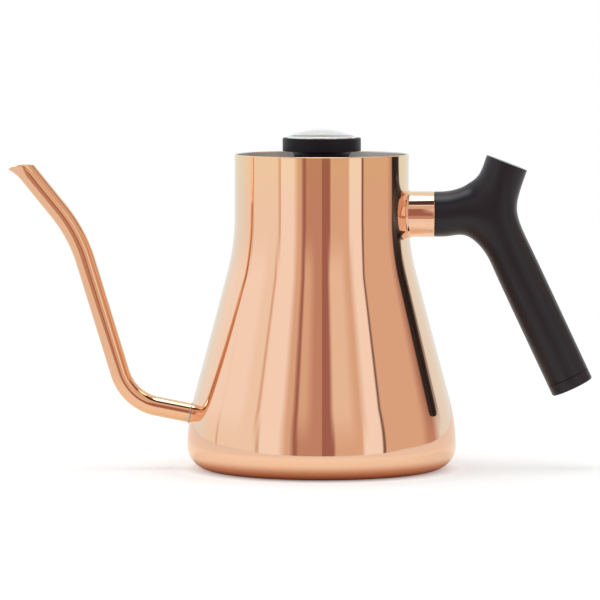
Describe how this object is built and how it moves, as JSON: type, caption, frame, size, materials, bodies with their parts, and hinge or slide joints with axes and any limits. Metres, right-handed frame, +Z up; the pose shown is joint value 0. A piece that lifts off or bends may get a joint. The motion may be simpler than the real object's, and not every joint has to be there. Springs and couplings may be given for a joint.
{
  "type": "gooseneck kettle",
  "caption": "Stovetop pour-over kettle: polished copper-coloured flask, thin gooseneck spout, Y-shaped counterbalanced grip and a lift-off lid with a dial thermometer in its knob.",
  "frame": {"origin": "centre of the base cap's underside, on the surface the kettle stands on", "axes": "+Z up along the flask's axis; the spout points to -X and the grip to +X; Y is across"},
  "size_m": [0.2922, 0.135, 0.1705],
  "materials": {
    "polished_copper": "mirror-polished copper-coloured plating",
    "brushed_steel": "brushed stainless steel",
    "bright_steel": "bright polished stainless steel",
    "core_aluminium": "plain rolled",
    "grip_black": "fine matt moulding",
    "knob_black": "fine matt moulding",
    "liner_black": "moulded, satin",
    "silicone_grey": "soft silicone",
    "crystal_clear": "polished domed crystal",
    "dial_white": "printed enamel dial",
    "pointer_red": "painted",
    "bush_brass": "turned",
    "coil_bimetal": "rolled strip"
  },
  "bodies": {
    "kettle": {"body_shell": "polished_copper", "floor_disc": "brushed_steel", "base_core": "core_aluminium", "base_cap": "brushed_steel", "seat_ring": "brushed_steel", "spout_tube": "polished_copper", "spout_weld": "bright_steel", "handle_boss": "brushed_steel", "handle_weld": "polished_copper", "handle_sleeve": "polished_copper", "handle_grip": "grip_black", "handle_screw": "brushed_steel", "lock_washer": "brushed_steel", "anti_turn_pin": "brushed_steel", "counterweight": "brushed_steel", "grip_end_cap": "grip_black"},
    "lid": {"lid_plate": "brushed_steel", "lid_liner": "liner_black", "lid_gasket": "silicone_grey", "knob": "knob_black", "thermo_case": "brushed_steel", "thermo_bezel": "bright_steel", "thermo_crystal": "crystal_clear", "thermo_dial": "dial_white", "shaft_bush": "bush_brass", "bimetal_coil": "coil_bimetal", "probe_stem": "brushed_steel", "stem_nut": "brushed_steel", "stem_washer": "silicone_grey"},
    "pointer": {"pointer": "pointer_red", "pointer_shaft": "brushed_steel"}
  },
  "joints": [
    {"name": "lid_lift", "type": "slide", "parent": "kettle", "child": "lid", "axis": [0, 0, 1], "range_m": [0, 0.125]},
    {"name": "pointer_turn", "type": "hinge", "parent": "lid", "child": "pointer", "pos_m": [0, 0, 0.1645], "axis": [0, 0, -1], "range_deg": [0, 270]}
  ]
}
